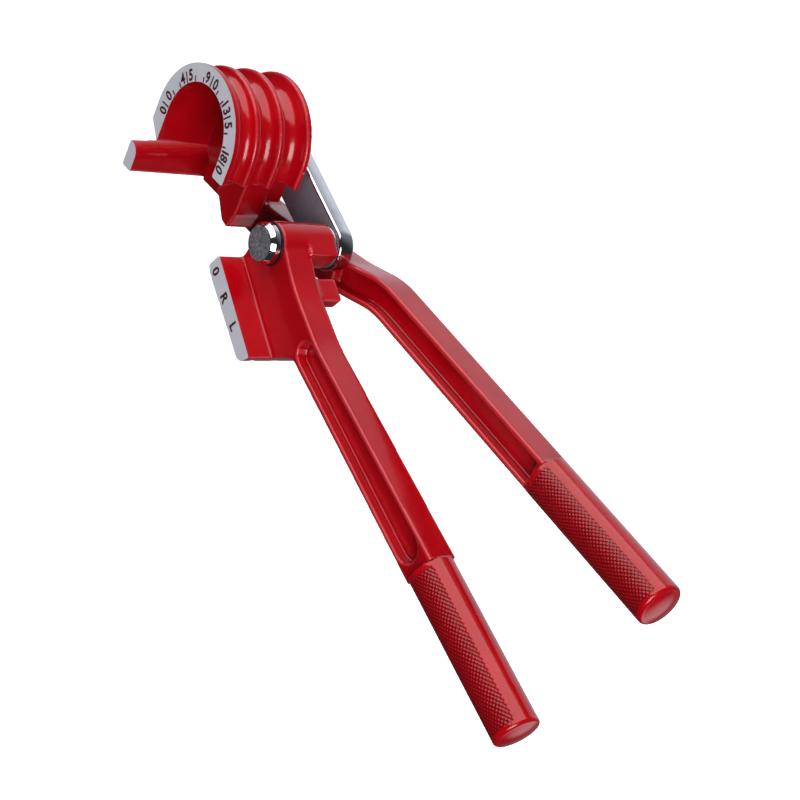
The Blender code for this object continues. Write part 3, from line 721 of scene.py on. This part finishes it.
bright_steel = turned_steel("bright_steel_wheel", STEEL, 0.24, (0, 0))
pin_profile = [
    (0, WHEEL_PIN_TOP),
    (PIN_RADIUS, WHEEL_PIN_TOP),
    (PIN_RADIUS, COLLAR_BACK),
    (PIN_RADIUS * 0.8, COLLAR_BACK - 0.0006),
    (0, COLLAR_BACK - 0.0008),
]
wheel_pin = lathed("wheel_pin_riveted", pin_profile, (0, 0), bright_steel)
fitted(wheel_pin, "wheel_handle", "wheel_pivot_pin")
collar = lathed(
    "wheel_pin_collar_turned",
    ring_profile(PIN_CLEAR, COLLAR_RADIUS, COLLAR_BACK, COLLAR_FRONT),
    (0, 0),
    bright_steel,
    0.0007,
)
fitted(collar, "wheel_handle", "wheel_pin_collar")
spacer = lathed(
    "wheel_spacer_turned",
    ring_profile(PIN_CLEAR, WASHER_RADIUS, WASHER_BACK, WASHER_FRONT),
    (0, 0),
    bright_steel,
)
fitted(spacer, "wheel_handle", "wheel_spacer_washer")

# Link bar and its bush
# A flat steel bar with full-round ends, its edges rounded over, polished and chrome plated.
# It is bored at both ends, and a bronze bush is pressed in at the wheel.
LINK_TURN = radians(-49.24)
LINK_REACH = 0.0498
LINK_HALF_WIDTH = 0.0088
LINK_FRONT = -0.01257
LINK_BACK = -0.01917
LINK_ROUND = 0.0009
LINK_BORE = 0.0051
LINK_PIN_BORE = 0.0038
BUSH_RADIUS = 0.0048
SHOE_PIN = (0.032514, -0.037721)
CHROME = (0.72, 0.735, 0.77)
BRONZE = (0.50, 0.33, 0.14)
BAR_END_STEPS = 32
BORE_STEPS = 64


def chrome_plate():
    """Polished plate with a faint haze, hair scratches and a slight waviness from buffing."""
    plate = Finish("chrome_plate", CHROME, 1.0, 0.09)
    haze = plate.step(plate.noise(140, 4.0), 0.35, 0.75)
    hairs = plate.noise(1, 3.0, plate.mapped((0.012, 0.00012, 0.012), LINK_TURN))
    scratches = plate.step(hairs, 0.62, 0.72)
    pits = plate.step(plate.noise(1300, 2.0), 0.70, 0.78)
    color = plate.mix(haze * 0.3, CHROME, (0.56, 0.57, 0.62))
    plate.give({"Base Color": plate.mix(pits, color, (0.30, 0.31, 0.34))})
    plate.give({"Roughness": 0.07 + 0.07 * haze + 0.10 * scratches})
    waves = plate.relief(plate.noise(190, 1.0), 0.00006)
    plate.give({"Normal": plate.relief(scratches + pits, 0.000003, waves)})
    return plate.material


def satin_plate_painted_reflection():
    """The link's flats: plated over a coarse grind, so they stay dull, and their dark grey colour is a
    painted reflection of the dark room.
    """
    flat = Finish("satin_plate_painted_reflection", (0.24, 0.245, 0.29), 0.4, 0.5)
    grind = flat.noise(1, 3.0, flat.mapped((0.010, 0.00015, 0.010), LINK_TURN))
    patch = flat.step(flat.noise(170, 4.0), 0.35, 0.75)
    color = flat.mix(0.5 * grind + 0.5 * patch, (0.27, 0.275, 0.34), (0.19, 0.195, 0.25))
    flat.give({"Base Color": color, "Roughness": 0.42 + 0.16 * patch})
    flat.give({"Normal": flat.relief(grind, 0.000008)})
    return flat.material


def round_bar(half, reach):
    """A stadium about two centres reach apart: points and outward directions."""
    angle = np.linspace(pi / 2, 3 * pi / 2, BAR_END_STEPS)
    angles = np.concatenate([angle, angle + pi])
    outward = np.stack([np.cos(angles), np.sin(angles)], axis=1)
    centre = np.repeat([[0.0, 0.0], [reach, 0.0]], BAR_END_STEPS, axis=0)
    return centre + outward * half, outward


def circle(radius, x):
    """A bore about (x, 0): points and directions towards its axis."""
    angle = np.arange(BORE_STEPS) * 2 * pi / BORE_STEPS
    outward = np.stack([np.cos(angle), np.sin(angle)], axis=1)
    return outward * radius + [x, 0.0], -outward


def bored_plate(name, walls, low, high, turn, look):
    """A plate with rounded edges: each wall is a profile carried along a closed line.

    Going up a wall, the profile leaves the flat at an inset, curves out to the line over the
    rounding, runs up it and curves back. The flats between the walls are then filled.
    """
    shape = bmesh.new()
    rims = {low: [], high: []}
    for (line, outward), rounding in walls:
        bend = np.linspace(0, pi / 2, 6)
        inset = np.concatenate([[1.3 * rounding], rounding * (1 - np.sin(bend))])
        rise = np.concatenate([[0.0], rounding * (1 - np.cos(bend))])
        insets = np.concatenate([inset, inset[::-1]])
        heights = np.concatenate([low + rise, high - rise[::-1]])
        flat = line[None] - outward[None] * insets[:, None, None]
        up = np.broadcast_to(heights[:, None, None], (*flat.shape[:2], 1))
        grid = np.concatenate([flat, up], axis=2)
        rows = [[shape.verts.new(point) for point in row] for row in grid.tolist()]
        for lower, upper in zip(rows[:-1], rows[1:]):
            for at in range(len(lower)):
                shape.faces.new((lower[at - 1], lower[at], upper[at], upper[at - 1]))
        for level, row in ((low, rows[0]), (high, rows[-1])):
            rims[level] += [shape.edges.get((row[at - 1], row[at])) for at in range(len(row))]
    for rim in rims.values():
        bmesh.ops.triangle_fill(shape, use_beauty=True, edges=rim)
    bmesh.ops.recalc_face_normals(shape, faces=shape.faces)
    for face in shape.faces:
        face.smooth = True
    mesh = bpy.data.meshes.new(name)
    shape.to_mesh(mesh)
    shape.free()
    mesh.vertices.foreach_set("co", turned_about(read_points(mesh), turn).ravel())
    mesh.materials.append(look)
    piece = bpy.data.objects.new(name, mesh)
    scene.collection.objects.link(piece)
    return piece


chrome = chrome_plate()
link_walls = [
    (round_bar(LINK_HALF_WIDTH, LINK_REACH), LINK_ROUND),
    (circle(LINK_BORE, 0.0), 0.0002),
    (circle(LINK_PIN_BORE, LINK_REACH), 0.0002),
]
link = bored_plate("link_bar_plated", link_walls, LINK_BACK, LINK_FRONT, LINK_TURN, chrome)
link.data.materials.append(satin_plate_painted_reflection())
# The flats take the satin finish, whose dark grey is a painted reflection of the dark room.
for side in link.data.polygons:
    if abs(side.normal.z) > 0.999:
        side.material_index = 1
fitted(link, "link", "link_bar")

bronze = turned_steel("bronze", BRONZE, 0.34, (0, 0))
link_bush = lathed(
    "link_bush_turned",
    ring_profile(PIN_CLEAR, BUSH_RADIUS, LINK_BACK, LINK_FRONT),
    (0, 0),
    bronze,
)
fitted(link_bush, "link", "link_bush")

# Shoe pivot pin, the black washer under its head and the spacer behind the boss
# The pin has a broad head with a polished bevel and a dull face, and runs through boss and
# link, where its tail is riveted over. The washers are pressed from sheet.
HEAD_FRONT = 0.0168
HEAD_EDGE_Z = 0.0152
HEAD_SEAT = 0.0130
HEAD_RADIUS = 0.0076
HEAD_FACE_RADIUS = 0.0064
TAIL_RADIUS = 0.0048
TAIL_DEPTH = 0.0016
HEAD_WASHER_RADIUS = 0.0079
HEAD_WASHER_FRONT = 0.0127
HEAD_WASHER_BACK = 0.0121


def pin_face():
    """The pin's dull face: dark plate, mottled by its ground surface."""
    face = Finish("pin_face", (0.30, 0.30, 0.34), 0.6, 0.38)
    mottle = face.step(face.noise(900, 4.0), 0.3, 0.7)
    patch = face.step(face.noise(260, 2.0), 0.4, 0.7)
    color = face.mix(mottle * 0.7 + patch * 0.3, (0.20, 0.20, 0.235), (0.52, 0.52, 0.58))
    face.give({"Base Color": color, "Roughness": 0.30 + 0.2 * mottle})
    face.give({"Normal": face.relief(mottle, 0.00002)})
    return face.material


def blackened_steel():
    """Black oxide on sheet steel: nearly black, dull, rubbed brighter in spots."""
    sheet = Finish("blackened_steel", (0.018, 0.018, 0.020), 0.5, 0.42)
    rubbed = sheet.step(sheet.noise(700, 3.0), 0.55, 0.8)
    sheet.give({"Base Color": sheet.mix(rubbed, (0.018, 0.018, 0.020), (0.06, 0.06, 0.065))})
    sheet.give({"Roughness": 0.36 + 0.2 * rubbed, "Normal": sheet.relief(rubbed, 0.000008)})
    return sheet.material


head_profile = [
    (0, HEAD_FRONT),
    (HEAD_FACE_RADIUS, HEAD_FRONT),
    (HEAD_RADIUS, HEAD_EDGE_Z),
    (HEAD_RADIUS, HEAD_SEAT),
    (PIN_RADIUS, HEAD_SEAT),
    (PIN_RADIUS, LINK_BACK + TAIL_DEPTH),
    (TAIL_RADIUS, LINK_BACK),
    (0, LINK_BACK),
]
shoe_pin = lathed("shoe_pin_headed", head_profile, SHOE_PIN, chrome, 0.0002)
shoe_pin.data.materials.append(pin_face())
for side in shoe_pin.data.polygons:
    middle = side.center - Vector((*SHOE_PIN, 0))
    if side.center.z > HEAD_FRONT - 0.00002 and middle.to_2d().length < HEAD_FACE_RADIUS - 0.0002:
        side.material_index = 1
fitted(shoe_pin, "link", "shoe_pivot_pin")
head_washer = lathed(
    "pin_head_washer_black",
    ring_profile(PIN_CLEAR, HEAD_WASHER_RADIUS, HEAD_WASHER_BACK, HEAD_WASHER_FRONT),
    SHOE_PIN,
    blackened_steel(),
)
fitted(head_washer, "link", "pin_head_washer")
boss_spacer = lathed(
    "boss_spacer_turned",
    ring_profile(PIN_CLEAR, WASHER_RADIUS, WASHER_BACK, WASHER_FRONT),
    SHOE_PIN,
    turned_steel("bright_steel_boss", STEEL, 0.24, SHOE_PIN),
)
fitted(boss_spacer, "link", "boss_spacer_washer")

# Shoe casting and its bush
# The forming shoe with its web, boss, lug and beam is the second die casting, painted as the
# first. The slab's near edge is milled bare, and small notches in it mark the three letters.
SHOE_TURN = radians(-58.7)
SHOE_NEAR = 0.0224
SHOE_FACE = -0.0235
SHOE_GROOVE_DEPTH = 0.0019
SHOE_GROOVE_FACETS = 8
SHOE_TOP = -0.0038
SHOE_BOTTOM = 0.0359
SHOE_SLAB_BACK = -0.0150
SHOE_MARGIN = 0.001
SLAB_CUT_ABOVE = 0.0215
BEAM_CUT_BEYOND = 0.12
BEAM_TURN = radians(-46.3)
SHOE_GRIP_START = 0.13199
SHOE_GRIP_OFFSET = -0.010211
BEAM_MIDDLE = 0.0061
BOSS_FRONT = 0.0118
LETTER_PLACES = (("0", 0.3), ("R", 11.1), ("L", 22.2))
NOTCH_DEPTH = 0.00045
NOTCH_HALF_WIDTH = 0.0006
NOTCH_FOOT = 0.0206
NOTCH_LIP = 0.0008


def shoe_points(points):
    """The shoe's grooves carried from their facets out to true half circles, and notched.

    In the shoe's own frame the grooves run along x. A notch is a V in the near flange's edge:
    its depth falls to none at NOTCH_HALF_WIDTH to either side of its letter.
    """
    own = seen_from(points, SHOE_TURN, SHOE_PIN)
    x, y, z = own.T
    slab = (y < SHOE_SLAB_BACK) & (x > SHOE_TOP - SHOE_MARGIN) & (x < SHOE_BOTTOM + SHOE_MARGIN)
    for width, middle in groove_centres():
        half = width / 2
        centre = SHOE_FACE + SHOE_GROOVE_DEPTH - half
        away, up = groove_trued(y - centre, z - middle, half, SHOE_GROOVE_FACETS)
        inside = slab & (abs(z - middle) < SECTION_MARGIN * half) & (y > centre)
        y = np.where(inside, centre + away, y)
        z = np.where(inside, middle + up, z)
    for _, place in LETTER_PLACES:
        depth = NOTCH_DEPTH * np.clip(1 - abs(x - place / 1000) / NOTCH_HALF_WIDTH, 0, 1)
        lip = slab & (y < SHOE_FACE + NOTCH_LIP) & (z > NOTCH_FOOT)
        y = np.where(lip, y + depth, y)
    return turned_about(np.stack([x, y, z], axis=1), SHOE_TURN, SHOE_PIN)


shoe = merged_copy("shoe_casting", "shoe_casting_painted")
points = read_points(shoe.data)
points[points[:, 2] > SHOE_NEAR - ON_FACE, 2] += MILLING_STOCK
shoe.data.vertices.foreach_set("co", points.ravel())
recast(shoe, CAST_VOXEL)
rounded_edges(shoe, shoe_points(read_points(shoe.data)), CAST_ROUNDING, PAINTED_EDGE)
casting(shoe, [paint, bare_metal])
along_beam = Vector((cos(BEAM_TURN), sin(BEAM_TURN), 0))
pin_at = Vector((*SHOE_PIN, 0))
sliced(
    shoe,
    pin_at + along_beam * (SHOE_GRIP_START + GRIP_LAP),
    along_beam,
    lambda at: (at - pin_at).dot(along_beam) > BEAM_CUT_BEYOND,
    0,
)
sliced(shoe, (0, 0, SHOE_NEAR - MILLED_OFF), (0, 0, 1), lambda at: at.z > SLAB_CUT_ABOVE, 1)
fitted(shoe, "shoe_handle", "shoe_casting")

boss_bush = lathed(
    "boss_bush_turned",
    ring_profile(PIN_CLEAR, BUSH_RADIUS, WHEEL_BACK, BOSS_FRONT),
    SHOE_PIN,
    turned_steel("bronze_boss", BRONZE, 0.34, SHOE_PIN),
)
fitted(boss_bush, "shoe_handle", "boss_bush")

# Shoe letters
# 0, R and L are stamped into the slab's bare edge, opposite the notches, with their tops
# away from the grooves, and filled with the same dark paint.
LETTER_HEIGHT = 0.0041
LETTER_CONDENSED = 1.0
LETTER_SIDE = -0.0200

shoe_marks = []
for letter, place in LETTER_PLACES:
    own = np.array([[place / 1000, LETTER_SIDE, 0.0]])
    x, y, _ = turned_about(own, SHOE_TURN, SHOE_PIN)[0]
    shoe_marks.append((glyph(letter, LETTER_CONDENSED, LETTER_HEIGHT), (x, y), SHOE_TURN))
letters = stamped("shoe_letters", shoe_marks, SHOE_NEAR - MILLED_OFF)
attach(letters, "shoe_handle")

# Shoe handle grip
# The round end of the beam, cast and knurled as the other one.
shoe_grip = knurled_grip(
    "shoe_handle_grip", SHOE_GRIP_START, SHOE_GRIP_OFFSET, BEAM_MIDDLE, BEAM_TURN, SHOE_PIN
)
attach(shoe_grip, "shoe_handle")

# Studio
# The tool lies on a white floor under a large soft lamp from above and a smaller one from the
# front. Mirrored in it, the room is dark, apart from the backdrop far behind it and a bright
# patch of the sweep in front.
FLOOR_LEVEL = -0.03375
BACKDROP_WAY = (-0.350, 0.450, -0.820)
SWEEP_WAY = (0.120, -0.729, -0.674)
ROOM_LIGHT = 0.03
FLOOR_HALF = 3.0
floor_mesh = bpy.data.meshes.new("floor")
floor_turns = ((-1, -1), (1, -1), (1, 1), (-1, 1))
floor_corners = [(x * FLOOR_HALF, y * FLOOR_HALF, FLOOR_LEVEL) for x, y in floor_turns]
floor_mesh.from_pydata(floor_corners, [], [(0, 1, 2, 3)])
floor = bpy.data.objects.new("floor", floor_mesh)
scene.collection.objects.link(floor)
sweep = Finish("white_sweep", (0.92, 0.92, 0.92), 0.0, 0.9)
sweep.give({"Emission Color": (1.0, 1.0, 1.0), "Emission Strength": 0.97, "Specular IOR Level": 0.0})
floor_mesh.materials.append(sweep.material)
floor.visible_glossy = False
floor.visible_diffuse = False

LAMPS = (
    ("key_lamp", (0.34, 1.20, 0.30), 1.9, 26.0),
    ("front_lamp", (1.05, -0.45, 0.62), 0.7, 12.0),
)
for name, place, size, power in LAMPS:
    lamp = bpy.data.lights.new(name, "AREA")
    lamp.shape = "SQUARE"
    lamp.size = size
    lamp.energy = power
    stand = bpy.data.objects.new(name, lamp)
    scene.collection.objects.link(stand)
    stand.location = place
    aim = Vector((0.05, -0.05, 0.0)) - Vector(place)
    stand.rotation_euler = aim.to_track_quat("-Z", "Y").to_euler()

world = bpy.data.worlds.new("studio")
scene.world = world
world.use_nodes = True
room = Nodes(world.node_tree)
facing = room.node("ShaderNodeTexCoord", outlet="Generated")
dot = {"operation": "DOT_PRODUCT"}
backdrop = room.node("ShaderNodeVectorMath", dot, {0: facing, 1: BACKDROP_WAY}, 1)
sweep_front = room.node("ShaderNodeVectorMath", dot, {0: facing, 1: SWEEP_WAY}, 1)
wide = room.step(backdrop, 0.20, 0.70) * 0.20 + ROOM_LIGHT
lit = wide + room.step(backdrop, 0.67, 0.88) * 0.65 + room.step(sweep_front, 0.945, 0.995) * 1.3
seen = room.node("ShaderNodeLightPath", outlet="Is Camera Ray")
sky = world.node_tree.nodes["Background"]
room.plug(sky.inputs["Strength"], seen + lit * (1 - seen))
room.plug(sky.inputs["Color"], room.mix(seen, (0.90, 0.92, 1.0), (1.0, 1.0, 1.0)))
